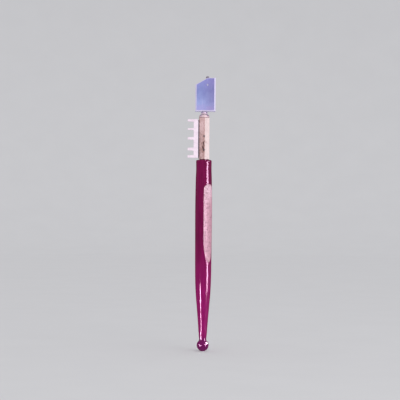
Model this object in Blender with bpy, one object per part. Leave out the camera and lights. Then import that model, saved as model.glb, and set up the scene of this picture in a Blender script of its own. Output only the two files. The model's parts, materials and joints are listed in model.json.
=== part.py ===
"""Diamond glass cutter with a swivelling head, a breaker comb and a turned wooden handle.

Frame: metres, +Z up along the tool's axis from the ball end towards the head, -Y is the front,
+X is the side away from the breaker comb. The origin is the middle of the small flat foot on
the ball end.
"""

from math import asin, cos, pi, radians, sin, sqrt

import bmesh
import bpy
from mathutils import Matrix, Vector

MM = 0.001
MERGE = 0.001 * MM
SMOOTH_ANGLE = radians(30)  # edges sharper than this stay crisp
ROUND_SEGMENTS = 32
HANDLE_SEGMENTS = 48
RUNNING_GAP = 0.05 * MM  # radial clearance round spindles, pins and pressed pieces
RESTING_GAP = 0.3 * MM  # between faces that rest on each other
PIN_CHAMFER = 0.1 * MM

# Turned handle: (height, radius) stations of the long swell between the ball and the shoulder
BALL_RADIUS = 3.85 * MM
BALL_FOOT_RADIUS = 1.0 * MM  # small flat where the turning was parted off
BALL_NECK_RADIUS = 2.45 * MM
HANDLE_STATIONS_MM = (
    (7.9, 2.3),
    (11.0, 2.65),
    (18.6, 3.2),
    (28.9, 4.05),
    (36.0, 4.65),
    (46.0, 5.12),
    (70.0, 5.33),
    (93.0, 5.4),
    (110.0, 5.2),
    (117.5, 4.95),
)
HANDLE_TOP = 123.1 * MM
SHOULDER_RADIUS = 5.0 * MM
SHOULDER_ROUNDING = 0.8 * MM
SWELL_RINGS = 26
SWELL_CROWDING = 1.25  # over 1 puts more rings near the ball, where the curve is tighter
TENON_RADIUS = 2.7 * MM
TENON_LENGTH = 12.3 * MM

# Finger flats: planed facets that run out through the round surface at both ends
FLAT_DISTANCE = 4.1 * MM  # from the handle's axis to the facet
FLAT_TURN = radians(41)  # the facet faces this far round from the front, towards +X
FLAT_LOW, FLAT_HIGH = 71.5 * MM, 104.4 * MM  # the level stretch of the facet
FLAT_LOW_RADIUS = 90 * MM  # long run-out towards the ball
FLAT_HIGH_RADIUS = 5 * MM  # short run-out towards the ferrule
FLAT_CUTTER_REACH = 8 * MM

# Six-sided ferrule, one corner facing forward
FERRULE_ACROSS_FLATS = 6.8 * MM
FERRULE_BOTTOM = HANDLE_TOP + RESTING_GAP
FERRULE_TOP = 150.3 * MM
FERRULE_CORNER_ROUNDING = 0.35 * MM
FERRULE_LIP = 0.15 * MM  # how far the rolled lower lip stands out
FERRULE_LIP_HEIGHT = 0.9 * MM
FERRULE_BORE_RADIUS = TENON_RADIUS + RUNNING_GAP

# Bush that closes the ferrule's top and carries the spindle
BUSH_BOTTOM = 136.0 * MM
NOSE_GAP = 0.15 * MM  # between the ferrule's top and the nose's shoulder
NOSE_BOTTOM = FERRULE_TOP + NOSE_GAP
NOSE_TOP = 152.3 * MM
NOSE_RADIUS = 3.4 * MM
NOSE_TIP_RADIUS = 2.8 * MM
NOSE_BAND = 0.7 * MM  # straight part of the nose below its chamfer

# Swivel
STEM_RADIUS = 1.5 * MM
STEM_BOTTOM = 136.4 * MM
STEM_TOP = 163.6 * MM
STEM_CHAMFER = 0.3 * MM
SWIVEL_LIMIT = radians(12)
STOP_HEIGHT = 138.4 * MM
STOP_PIN_RADIUS = 0.5 * MM
STOP_PIN_REACH = 0.85 * MM  # distance of the pin's inner end from the axis
STOP_SLOT_FLOOR = 0.75 * MM  # distance of the slot's floor from the axis
STOP_SLOT_REACH = 2.4 * MM  # distance of the slot cutter's outer end from the axis
STOP_MARGIN = radians(1.5)
PIN_HEAD_DISTANCE = 3.6 * MM  # distance of the ferrule pins' outer ends from the axis

# Thrust washer in the neck
WASHER_BOTTOM = NOSE_TOP + RESTING_GAP
WASHER_HEIGHT = 1.4 * MM
WASHER_RADIUS = 2.2 * MM
WASHER_BULGE = 0.42 * MM  # how far the rounded rim swells beyond the flat ends

# Head block: outline in the XZ plane, measured from the swivel axis and the block's underside
BLOCK_BOTTOM = WASHER_BOTTOM + WASHER_HEIGHT + RESTING_GAP
BLOCK_LEFT, BLOCK_RIGHT = -5.8 * MM, 7.2 * MM
BLOCK_HEIGHT = 21.7 * MM
BLOCK_LEFT_HEIGHT = 17.2 * MM
BLOCK_SLOPE_END = 2.1 * MM  # where the sloping shoulder meets the level top
BLOCK_THICKNESS = 6.0 * MM
BLOCK_CHAMFER = 0.75 * MM  # along the two sides and the foot of each broad face
BLOCK_TOP_CHAMFER = 0.3 * MM  # along the sloping shoulder and the level top

# Diamond setting
HOLDER_X = 2.0 * MM
HOLDER_RADIUS = 1.0 * MM
HOLDER_LENGTH = 10.4 * MM
HOLDER_STANDS_OUT = 1.0 * MM
HOLDER_FOOT_CHAMFER = 0.2 * MM
HOLDER_TAPER = 0.5 * MM  # height of the cone at the tip
HOLDER_TIP_RADIUS = 0.72 * MM
CUP_RADIUS = 0.62 * MM
CUP_DEPTH = 0.8 * MM
HOLDER_PIN_DROP = 4.6 * MM  # from the block's top down to the pin
HOLDER_PIN_RADIUS = 0.55 * MM
PIN_SINK = 0.15 * MM
BRAZE_OUTER, BRAZE_INNER = CUP_RADIUS - RUNNING_GAP, 0.46 * MM
BRAZE_HEIGHT = 0.5 * MM
DIAMOND_GIRDLE = 0.4 * MM
DIAMOND_CROWN = 0.5 * MM
DIAMOND_PAVILION = 0.55 * MM

# Breaker comb, from its lowest tooth up
COMB_BOTTOM = 124.4 * MM
COMB_TEETH_MM = (1.9, 2.1, 1.9, 1.4, 1.8)
COMB_NOTCHES_MM = (2.75, 4.9, 4.35, 4.0)
COMB_THICKNESS = 1.9 * MM
COMB_SPINE = 3.0 * MM
COMB_TOOTH = 3.85 * MM
COMB_TOOTH_TAPER = 0.2 * MM
COMB_CORNER = 0.9 * MM
COMB_STANDOFF = 0.35 * MM  # filled by the solder
COMB_TENON_HEIGHTS = (7.2 * MM, 19.2 * MM)
COMB_TENON = Vector((0.9, 1.0, 3.0)) * MM
SOLDER_WIDTH = 1.5 * MM
SOLDER_GAP = 0.1 * MM
SOLDER_LENGTH = 24.3 * MM

# Brads that hold the ferrule on the wood
BRAD_RADIUS = 0.5 * MM
BRAD_LENGTH = 2.2 * MM
BRAD_FRONT_HEIGHT = 129.6 * MM
BRAD_BACK_HEIGHT = 131.6 * MM

FRONT, BACK = Vector((0, -1, 0)), Vector((0, 1, 0))


def clear_scene():
    for obj in list(bpy.data.objects):
        bpy.data.objects.remove(obj, do_unlink=True)


def make_material(name, colour, roughness, metallic):
    material = bpy.data.materials.new(name)
    material.use_nodes = True
    shader = material.node_tree.nodes["Principled BSDF"]
    shader.inputs["Base Color"].default_value = (*colour, 1)
    shader.inputs["Roughness"].default_value = roughness
    shader.inputs["Metallic"].default_value = metallic
    return material


def make_axis(name, height):
    """An empty on the tool's axis that carries one rigid group."""
    axis = bpy.data.objects.new(name, None)
    axis.location = (0, 0, height)
    bpy.context.scene.collection.objects.link(axis)
    return axis


def make_object(name, bm, axis=None, at=(0, 0, 0), material=None):
    """Turns a bmesh into an object at a world place, carried by its group's axis."""
    bmesh.ops.remove_doubles(bm, verts=bm.verts, dist=MERGE)
    bmesh.ops.recalc_face_normals(bm, faces=bm.faces)
    mesh = bpy.data.meshes.new(name)
    bm.to_mesh(mesh)
    bm.free()
    mesh.shade_smooth()
    mesh.set_sharp_from_angle(angle=SMOOTH_ANGLE)
    obj = bpy.data.objects.new(name, mesh)
    obj.location = Vector(at) - (axis.location if axis else Vector())
    obj.parent = axis
    if material:
        mesh.materials.append(material)
    bpy.context.scene.collection.objects.link(obj)
    return obj


def turned(profile, closed=False, segments=ROUND_SEGMENTS):
    """Surface of revolution about Z from (radius, height) points; a ring has a closed profile."""
    bm = bmesh.new()
    verts = [bm.verts.new((radius, 0, height)) for radius, height in profile]
    pairs = list(zip(verts, verts[1:]))
    if closed:
        pairs.append((verts[-1], verts[0]))
    edges = [bm.edges.new(pair) for pair in pairs]
    bmesh.ops.spin(
        bm, geom=verts + edges, cent=(0, 0, 0), axis=(0, 0, 1), angle=2 * pi, steps=segments, use_merge=True
    )
    return bm


def prism(outline, start, along):
    """Solid made by moving a flat outline to start and extruding it."""
    bm = bmesh.new()
    face = bm.faces.new([bm.verts.new(Vector(point) + start) for point in outline])
    extruded = bmesh.ops.extrude_face_region(bm, geom=[face])["geom"]
    moved = [item for item in extruded if isinstance(item, bmesh.types.BMVert)]
    bmesh.ops.translate(bm, verts=moved, vec=along)
    return bm


def upright(points, y=0.0):
    """(x, z) points as 3-D points in the plane at y."""
    return [(x, y, z) for x, z in points]


def arc(centre, radius, start, end, steps):
    """Points on a circle from one angle to another, both ends included."""
    angles = [start + (end - start) * i / steps for i in range(steps + 1)]
    return [(centre[0] + radius * cos(a), centre[1] + radius * sin(a)) for a in angles]


def rod(radius, start, end, chamfer=0.0):
    """Round bar between two points, with chamfered ends."""
    along = end - start
    length = along.length
    profile = [(0, 0), (radius, 0), (radius, length), (0, length)]
    if chamfer:
        profile = [
            (0, 0),
            (radius - chamfer, 0),
            (radius, chamfer),
            (radius, length - chamfer),
            (radius - chamfer, length),
            (0, length),
        ]
    bm = turned(profile, segments=ROUND_SEGMENTS // 2)
    turn = Vector((0, 0, 1)).rotation_difference(along).to_matrix()
    bmesh.ops.rotate(bm, verts=bm.verts, cent=(0, 0, 0), matrix=turn)
    bmesh.ops.translate(bm, verts=bm.verts, vec=start)
    return bm


def box(low, high):
    outline = [(low.x, low.y, 0), (high.x, low.y, 0), (high.x, high.y, 0), (low.x, high.y, 0)]
    return prism(outline, Vector((0, 0, low.z)), Vector((0, 0, high.z - low.z)))


def cut(target, name, bm):
    """Subtracts a solid, given in world coordinates, from the target."""
    cutter = make_object(f"{target.name}_{name}_cutter", bm)
    cutter.hide_render = True
    cutter.display_type = "WIRE"
    boolean = target.modifiers.new(name, "BOOLEAN")
    boolean.operation = "DIFFERENCE"
    boolean.solver = "EXACT"
    boolean.object = cutter


def swell(height, stations):
    """Radius at a height, by a cubic curve through the (height, radius) stations."""
    slopes = []
    for i in range(len(stations)):
        (z0, r0), (z1, r1) = stations[max(i - 1, 0)], stations[min(i + 1, len(stations) - 1)]
        slopes.append((r1 - r0) / (z1 - z0))
    i = max(k for k in range(len(stations) - 1) if stations[k][0] <= height or k == 0)
    (z0, r0), (z1, r1) = stations[i], stations[i + 1]
    t = (height - z0) / (z1 - z0)
    rise = (z1 - z0) * (slopes[i] * t * (1 - t) ** 2 - slopes[i + 1] * t * t * (1 - t))
    return r0 * (1 + 2 * t) * (1 - t) ** 2 + r1 * t * t * (3 - 2 * t) + rise


def handle_profile():
    """Outline of the handle from the middle of the ball's foot to the end of the tenon."""
    foot_angle = asin(BALL_FOOT_RADIUS / BALL_RADIUS) - pi / 2
    neck_angle = pi / 2 - asin(BALL_NECK_RADIUS / BALL_RADIUS)
    centre = (0, sqrt(BALL_RADIUS**2 - BALL_FOOT_RADIUS**2))
    ball = [(0, 0)] + arc(centre, BALL_RADIUS, foot_angle, neck_angle, 11)
    shoulder_low = HANDLE_TOP - SHOULDER_ROUNDING
    stations = [(z * MM, r * MM) for z, r in HANDLE_STATIONS_MM]
    stations.append((shoulder_low, SHOULDER_RADIUS))
    first = stations[0][0]
    spacing = [(i / SWELL_RINGS) ** SWELL_CROWDING for i in range(SWELL_RINGS + 1)]
    heights = [first + (shoulder_low - first) * s for s in spacing]
    body = [(swell(z, stations), z) for z in heights]
    shoulder = arc((SHOULDER_RADIUS - SHOULDER_ROUNDING, shoulder_low), SHOULDER_ROUNDING, 0, pi / 2, 4)
    tenon_top = HANDLE_TOP + TENON_LENGTH
    tenon = [
        (TENON_RADIUS, HANDLE_TOP),
        (TENON_RADIUS, tenon_top - STEM_CHAMFER),
        (TENON_RADIUS - STEM_CHAMFER, tenon_top),
        (0, tenon_top),
    ]
    return ball + body + shoulder[1:] + tenon


def finger_flat_cutter(turn):
    """Planing cut: level along the grip, with an arc up and out at each end."""
    drop = FLAT_CUTTER_REACH - FLAT_DISTANCE
    low_sweep = pi / 2 - asin(1 - drop / FLAT_LOW_RADIUS)
    low = arc((FLAT_DISTANCE + FLAT_LOW_RADIUS, FLAT_LOW), FLAT_LOW_RADIUS, pi + low_sweep, pi, 14)
    high = arc((FLAT_DISTANCE + FLAT_HIGH_RADIUS, FLAT_HIGH), FLAT_HIGH_RADIUS, pi, pi / 2, 8)
    outline = low + high
    bm = prism(upright(outline, -FLAT_CUTTER_REACH), Vector(), Vector((0, 2 * FLAT_CUTTER_REACH, 0)))
    bmesh.ops.rotate(bm, verts=bm.verts, cent=(0, 0, 0), matrix=Matrix.Rotation(turn - pi / 2, 3, "Z"))
    return bm


def make_handle(axis):
    wood = make_material("lacquered_wood", (0.17, 0.006, 0.055), 0.18, 0.0)
    handle = make_object("handle", turned(handle_profile(), segments=HANDLE_SEGMENTS), axis, material=wood)
    cut(handle, "right_flat", finger_flat_cutter(FLAT_TURN))
    cut(handle, "left_flat", finger_flat_cutter(FLAT_TURN + pi))
    cut(handle, "front_brad", brad_hole(FRONT, BRAD_FRONT_HEIGHT))
    cut(handle, "back_brad", brad_hole(BACK, BRAD_BACK_HEIGHT))


def hexagon(across_flats, height):
    """Ring of a hexagon with rounded corners, one corner facing forward."""
    corner_angle = radians(60)
    rounding = FERRULE_CORNER_ROUNDING
    centre_distance = (across_flats / 2 - rounding) / cos(corner_angle / 2)
    points = []
    for side in range(6):
        middle = side * corner_angle - pi / 2
        centre = (centre_distance * cos(middle), centre_distance * sin(middle))
        points += arc(centre, rounding, middle - corner_angle / 2, middle + corner_angle / 2, 3)
    return [(x, y, height) for x, y in points]


def ferrule_rings():
    """The ferrule's cross-sections: lip at the foot, straight body, broken edge at the top."""
    lip = FERRULE_ACROSS_FLATS + 2 * FERRULE_LIP
    edge = FERRULE_LIP
    lip_top = FERRULE_BOTTOM + FERRULE_LIP_HEIGHT
    return [
        hexagon(FERRULE_ACROSS_FLATS, FERRULE_BOTTOM),
        hexagon(lip, FERRULE_BOTTOM + edge),
        hexagon(lip, lip_top - edge),
        hexagon(FERRULE_ACROSS_FLATS, lip_top),
        hexagon(FERRULE_ACROSS_FLATS, FERRULE_TOP - edge),
        hexagon(FERRULE_ACROSS_FLATS - 2 * edge, FERRULE_TOP),
    ]


def lofted(rings):
    """Solid skinned over rings of equal point counts, with flat ends."""
    bm = bmesh.new()
    loops = [[bm.verts.new(point) for point in ring] for ring in rings]
    count = len(loops[0])
    for lower, upper in zip(loops, loops[1:]):
        for i in range(count):
            j = (i + 1) % count
            bm.faces.new((lower[i], lower[j], upper[j], upper[i]))
    bm.faces.new(loops[0])
    bm.faces.new(loops[-1])
    return bm


def make_ferrule(axis):
    brass = make_material("brass", (0.83, 0.66, 0.46), 0.32, 1.0)
    ferrule = make_object("ferrule", lofted(ferrule_rings()), axis, material=brass)
    below = FERRULE_BOTTOM - FERRULE_ACROSS_FLATS
    above = FERRULE_TOP + FERRULE_ACROSS_FLATS
    bore = [(0, below), (FERRULE_BORE_RADIUS, below), (FERRULE_BORE_RADIUS, above), (0, above)]
    cut(ferrule, "bore", turned(bore))
    cut(ferrule, "stop_pin", pin_hole(FRONT, STOP_HEIGHT, STOP_PIN_RADIUS))
    cut(ferrule, "front_brad", pin_hole(FRONT, BRAD_FRONT_HEIGHT, BRAD_RADIUS))
    cut(ferrule, "back_brad", pin_hole(BACK, BRAD_BACK_HEIGHT, BRAD_RADIUS))
    for number, height in enumerate(COMB_TENON_HEIGHTS):
        cut(ferrule, f"tenon_{number}", comb_tenon(height, SOLDER_GAP))


def pin_hole(side, height, radius):
    """Radial hole for a pin, from just outside the ferrule to just inside the bush's bore."""
    up = Vector((0, 0, height))
    return rod(radius + RUNNING_GAP, up + side * STEM_RADIUS / 2, up + side * FERRULE_ACROSS_FLATS)


def brad_hole(side, height):
    """Hole in the tenon, a little deeper than its brad."""
    up = Vector((0, 0, height))
    depth = PIN_HEAD_DISTANCE - BRAD_LENGTH - 2 * RUNNING_GAP
    return rod(BRAD_RADIUS + RUNNING_GAP, up + side * depth, up + side * PIN_HEAD_DISTANCE)


def make_brad(axis, name, side, height, steel):
    up = Vector((0, 0, height))
    outer = up + side * PIN_HEAD_DISTANCE
    inner = up + side * (PIN_HEAD_DISTANCE - BRAD_LENGTH)
    make_object(name, rod(BRAD_RADIUS, inner, outer, chamfer=PIN_CHAMFER), axis, material=steel)


def make_stem_bush(axis):
    brass = make_material("nose_brass", (0.80, 0.62, 0.50), 0.35, 1.0)
    bore = STEM_RADIUS + RUNNING_GAP
    profile = [
        (bore, BUSH_BOTTOM),
        (TENON_RADIUS, BUSH_BOTTOM),
        (TENON_RADIUS, NOSE_BOTTOM),
        (NOSE_RADIUS, NOSE_BOTTOM),
        (NOSE_RADIUS, NOSE_BOTTOM + NOSE_BAND),
        (NOSE_TIP_RADIUS, NOSE_TOP),
        (bore, NOSE_TOP),
    ]
    bush = make_object("stem_bush", turned(profile, closed=True), axis, material=brass)
    cut(bush, "stop_pin", pin_hole(FRONT, STOP_HEIGHT, STOP_PIN_RADIUS))


def make_stop_pin(axis, steel):
    up = Vector((0, 0, STOP_HEIGHT))
    inner, outer = up + FRONT * STOP_PIN_REACH, up + FRONT * PIN_HEAD_DISTANCE
    pin = rod(STOP_PIN_RADIUS, inner, outer, chamfer=PIN_CHAMFER)
    make_object("swivel_stop_pin", pin, axis, material=steel)


def comb_outline():
    """Outline of the comb in XZ: teeth on the left, straight back on the right."""
    back = -(FERRULE_ACROSS_FLATS / 2 + COMB_STANDOFF)
    root = back - COMB_SPINE
    tip = root - COMB_TOOTH
    z = COMB_BOTTOM
    teeth = []
    for width, notch in zip(COMB_TEETH_MM, COMB_NOTCHES_MM + (0,)):
        top = z + width * MM
        teeth += [(root, z), (tip, z + COMB_TOOTH_TAPER), (tip, top - COMB_TOOTH_TAPER), (root, top)]
        z = top + notch * MM
    corner = arc((back - COMB_CORNER, z - COMB_CORNER), COMB_CORNER, pi / 2, 0, 5)
    return teeth[1:-1] + corner + [(back, COMB_BOTTOM)]


def comb_tenon(height, gap):
    """Tab that passes from the comb through the ferrule's wall, grown by a gap."""
    back = -(FERRULE_ACROSS_FLATS / 2 + COMB_STANDOFF)
    low = Vector((back - COMB_SPINE / 2, -COMB_TENON.y / 2 - gap, COMB_BOTTOM + height - gap))
    high = Vector((back + COMB_TENON.x, COMB_TENON.y / 2 + gap, COMB_BOTTOM + height + COMB_TENON.z + gap))
    if gap:
        high.x += COMB_STANDOFF
    return box(low, high)


def make_breaker_comb(axis):
    steel = make_material("plated_steel", (0.86, 0.82, 0.85), 0.3, 1.0)
    plate = prism(upright(comb_outline(), -COMB_THICKNESS / 2), Vector(), Vector((0, COMB_THICKNESS, 0)))
    comb = make_object("breaker_comb", plate, axis, material=steel)
    for number, height in enumerate(COMB_TENON_HEIGHTS):
        tenon = make_object(f"comb_tenon_{number}", comb_tenon(height, 0))
        tenon.hide_render = True
        tenon.display_type = "WIRE"
        join = comb.modifiers.new(f"tenon_{number}", "BOOLEAN")
        join.operation = "UNION"
        join.solver = "EXACT"
        join.object = tenon


def make_solder_seam(axis):
    solder = make_material("solder", (0.30, 0.28, 0.30), 0.5, 1.0)
    flat = -FERRULE_ACROSS_FLATS / 2
    bottom = FERRULE_BOTTOM + FERRULE_LIP_HEIGHT + RESTING_GAP
    low = Vector((flat - COMB_STANDOFF + SOLDER_GAP, -SOLDER_WIDTH / 2, bottom))
    high = Vector((flat - SOLDER_GAP, SOLDER_WIDTH / 2, bottom + SOLDER_LENGTH))
    seam = make_object("solder_seam", box(low, high), axis, material=solder)
    for number, height in enumerate(COMB_TENON_HEIGHTS):
        cut(seam, f"tenon_{number}", comb_tenon(height, SOLDER_GAP))


def make_swivel_stem(axis):
    steel = make_material("stem_steel", (0.52, 0.50, 0.52), 0.35, 1.0)
    profile = [
        (0, STEM_BOTTOM),
        (STEM_RADIUS - STEM_CHAMFER, STEM_BOTTOM),
        (STEM_RADIUS, STEM_BOTTOM + STEM_CHAMFER),
        (STEM_RADIUS, STEM_TOP - STEM_CHAMFER),
        (STEM_RADIUS - STEM_CHAMFER, STEM_TOP),
        (0, STEM_TOP),
    ]
    local = [(radius, height - axis.location.z) for radius, height in profile]
    stem = make_object("swivel_stem", turned(local), axis, at=axis.location, material=steel)
    cut(stem, "stop_slot", stop_slot())


def stop_slot():
    """Slot part of the way round the stem; its two ends are the limits of the swivel."""
    pin_angle = asin(STOP_PIN_RADIUS / sqrt(STOP_PIN_RADIUS**2 + STOP_PIN_REACH**2))
    half = pin_angle + SWIVEL_LIMIT + STOP_MARGIN
    middle = -pi / 2
    inner = arc((0, 0), STOP_SLOT_FLOOR, middle - half, middle + half, 10)
    outer = arc((0, 0), STOP_SLOT_REACH, middle + half, middle - half, 10)
    reach = STOP_PIN_RADIUS + 2 * RUNNING_GAP
    outline = [(x, y, 0) for x, y in inner + outer]
    return prism(outline, Vector((0, 0, STOP_HEIGHT - reach)), Vector((0, 0, 2 * reach)))


def make_thrust_washer(axis):
    steel = make_material("washer_steel", (0.85, 0.80, 0.83), 0.28, 1.0)
    bore = STEM_RADIUS + RUNNING_GAP
    half = WASHER_HEIGHT / 2
    flat = WASHER_RADIUS - WASHER_BULGE
    turns = (-pi / 2, -pi / 4, 0, pi / 4, pi / 2)
    rim = [(flat + WASHER_BULGE * cos(turn), half + half * sin(turn)) for turn in turns]
    profile = [(bore, 0), *rim, (bore, WASHER_HEIGHT)]
    bm = turned(profile, closed=True)
    make_object("thrust_washer", bm, axis, at=(0, 0, WASHER_BOTTOM), material=steel)


def make_head_block(axis):
    steel = make_material("satin_steel", (0.50, 0.50, 0.68), 0.38, 1.0)
    outline = [
        (BLOCK_LEFT, 0),
        (BLOCK_RIGHT, 0),
        (BLOCK_RIGHT, BLOCK_HEIGHT),
        (BLOCK_SLOPE_END, BLOCK_HEIGHT),
        (BLOCK_LEFT, BLOCK_LEFT_HEIGHT),
    ]
    bm = prism(upright(outline, -BLOCK_THICKNESS / 2), Vector(), Vector((0, BLOCK_THICKNESS, 0)))
    weigh_block_rims(bm)
    block = make_object("head_block", bm, axis, at=(0, 0, BLOCK_BOTTOM), material=steel)
    chamfer = block.modifiers.new("chamfer", "BEVEL")
    chamfer.width = BLOCK_CHAMFER
    chamfer.segments = 1
    chamfer.limit_method = "WEIGHT"
    top = BLOCK_BOTTOM + BLOCK_HEIGHT
    stem_hole_top = STEM_TOP + RESTING_GAP
    foot = Vector((0, 0, BLOCK_BOTTOM - BLOCK_THICKNESS))
    cut(block, "stem_bore", rod(STEM_RADIUS + RUNNING_GAP, foot, Vector((0, 0, stem_hole_top))))
    holder_foot = Vector((HOLDER_X, 0, top + HOLDER_STANDS_OUT - HOLDER_LENGTH - RESTING_GAP))
    over_top = Vector((HOLDER_X, 0, top + BLOCK_THICKNESS))
    cut(block, "holder_bore", rod(HOLDER_RADIUS + RUNNING_GAP, holder_foot, over_top))
    cut(block, "pin_hole", holder_pin(HOLDER_PIN_RADIUS + RUNNING_GAP, BLOCK_THICKNESS))


def weigh_block_rims(bm):
    """Marks the edges of the two broad faces for chamfering, less along the top of the block."""
    weights = bm.edges.layers.float.new("bevel_weight_edge")
    for edge in bm.edges:
        start, end = (vert.co for vert in edge.verts)
        if abs(start.y - end.y) > MERGE:
            continue
        along_top = min(start.z, end.z) > BLOCK_LEFT_HEIGHT - MERGE
        edge[weights] = BLOCK_TOP_CHAMFER / BLOCK_CHAMFER if along_top else 1.0


def holder_pin(radius, half_length, chamfer=0.0):
    """Round bar across the block, through the diamond's holder."""
    middle = Vector((HOLDER_X, 0, BLOCK_BOTTOM + BLOCK_HEIGHT - HOLDER_PIN_DROP))
    return rod(radius, middle + FRONT * half_length, middle + BACK * half_length, chamfer)


def make_diamond_holder(axis, steel):
    profile = [
        (0, 0),
        (HOLDER_RADIUS - HOLDER_FOOT_CHAMFER, 0),
        (HOLDER_RADIUS, HOLDER_FOOT_CHAMFER),
        (HOLDER_RADIUS, HOLDER_LENGTH - HOLDER_TAPER),
        (HOLDER_TIP_RADIUS, HOLDER_LENGTH),
        (CUP_RADIUS, HOLDER_LENGTH),
        (CUP_RADIUS, HOLDER_LENGTH - CUP_DEPTH),
        (0, HOLDER_LENGTH - CUP_DEPTH),
    ]
    foot = BLOCK_BOTTOM + BLOCK_HEIGHT + HOLDER_STANDS_OUT - HOLDER_LENGTH
    holder = make_object("diamond_holder", turned(profile), axis, at=(HOLDER_X, 0, foot), material=steel)
    cut(holder, "pin_hole", holder_pin(HOLDER_PIN_RADIUS + RUNNING_GAP, BLOCK_THICKNESS))


def make_holder_pin(axis, steel):
    pin = holder_pin(HOLDER_PIN_RADIUS, BLOCK_THICKNESS / 2 - PIN_SINK, PIN_CHAMFER)
    make_object("holder_pin", pin, axis, material=steel)


def make_diamond(axis):
    """Eight-sided point held by a ring of braze in the holder's cup."""
    diamond = make_material("diamond", (0.75, 0.80, 0.82), 0.05, 0.0)
    braze = make_material("braze", (0.55, 0.42, 0.30), 0.45, 1.0)
    cup_floor = BLOCK_BOTTOM + BLOCK_HEIGHT + HOLDER_STANDS_OUT - CUP_DEPTH
    foot = cup_floor + 2 * RUNNING_GAP
    point = [(0, 0), (DIAMOND_GIRDLE, DIAMOND_PAVILION), (0, DIAMOND_PAVILION + DIAMOND_CROWN)]
    at = (HOLDER_X, 0, foot)
    make_object("diamond_tip", turned(point, segments=8), axis, at=at, material=diamond)
    ring = [
        (BRAZE_INNER, 0),
        (BRAZE_OUTER, 0),
        (BRAZE_OUTER, BRAZE_HEIGHT),
        (BRAZE_INNER, BRAZE_HEIGHT),
    ]
    make_object("braze_ring", turned(ring, closed=True), axis, at=at, material=braze)


def build():
    clear_scene()
    handle_axis = make_axis("handle_axis", 0)
    swivel_axis = make_axis("swivel_axis", WASHER_BOTTOM)
    pin_steel = make_material("pin_steel", (0.35, 0.33, 0.34), 0.45, 1.0)
    make_handle(handle_axis)
    make_ferrule(handle_axis)
    make_brad(handle_axis, "ferrule_brad_front", FRONT, BRAD_FRONT_HEIGHT, pin_steel)
    make_brad(handle_axis, "ferrule_brad_back", BACK, BRAD_BACK_HEIGHT, pin_steel)
    make_stem_bush(handle_axis)
    make_stop_pin(handle_axis, pin_steel)
    make_breaker_comb(handle_axis)
    make_solder_seam(handle_axis)
    make_swivel_stem(swivel_axis)
    make_thrust_washer(swivel_axis)
    make_head_block(swivel_axis)
    make_diamond_holder(swivel_axis, pin_steel)
    make_holder_pin(swivel_axis, pin_steel)
    make_diamond(swivel_axis)


build()
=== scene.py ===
"""Looks of the diamond glass cutter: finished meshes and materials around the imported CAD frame.

Metres, +Z up along the tool, -Y is the front. Every piece is modelled in the row frame with its
object at the origin, so object coordinates are the same as places on the tool.
"""

import json
from bisect import bisect
from math import acos, asin, atan, atan2, cos, exp, hypot, pi, radians, sin, sqrt, tan

import bmesh
import bpy
from mathutils import Matrix, Vector


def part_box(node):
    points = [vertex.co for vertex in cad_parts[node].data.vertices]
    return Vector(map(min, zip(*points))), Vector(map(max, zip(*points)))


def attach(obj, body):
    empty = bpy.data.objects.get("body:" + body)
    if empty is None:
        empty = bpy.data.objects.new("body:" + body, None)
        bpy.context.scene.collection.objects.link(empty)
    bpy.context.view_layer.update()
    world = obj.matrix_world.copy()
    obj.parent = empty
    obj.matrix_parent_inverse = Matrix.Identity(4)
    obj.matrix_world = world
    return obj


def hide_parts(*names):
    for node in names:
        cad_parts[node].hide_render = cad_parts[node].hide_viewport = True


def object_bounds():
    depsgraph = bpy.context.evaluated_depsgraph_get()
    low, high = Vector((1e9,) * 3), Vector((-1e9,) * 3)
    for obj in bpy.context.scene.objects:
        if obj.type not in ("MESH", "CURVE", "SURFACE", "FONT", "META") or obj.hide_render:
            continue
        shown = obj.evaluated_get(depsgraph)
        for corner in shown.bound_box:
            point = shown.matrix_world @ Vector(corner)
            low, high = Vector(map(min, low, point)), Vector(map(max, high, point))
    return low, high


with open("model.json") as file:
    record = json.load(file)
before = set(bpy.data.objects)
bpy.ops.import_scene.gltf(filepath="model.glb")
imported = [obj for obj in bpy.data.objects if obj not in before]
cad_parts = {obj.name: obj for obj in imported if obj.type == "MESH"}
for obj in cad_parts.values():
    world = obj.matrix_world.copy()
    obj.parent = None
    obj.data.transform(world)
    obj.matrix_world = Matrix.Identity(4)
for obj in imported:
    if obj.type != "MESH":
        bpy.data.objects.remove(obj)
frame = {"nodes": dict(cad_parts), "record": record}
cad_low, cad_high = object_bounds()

MM = 0.001
FRONT, RIGHT, UP = Vector((0, -1, 0)), Vector((1, 0, 0)), Vector((0, 0, 1))
HANDLE_BODY, HEAD_BODY = "handle_body", "swivel_head"
RUNNING_GAP = 0.05 * MM  # radial clearance round pins, spindle and pressed pieces
SAME_PLACE = 0.001 * MM  # stored coordinates nearer than this are one
ROUND_SEGMENTS, SMALL_SEGMENTS, PIN_SEGMENTS = 96, 64, 48

# -------- material building blocks


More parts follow.
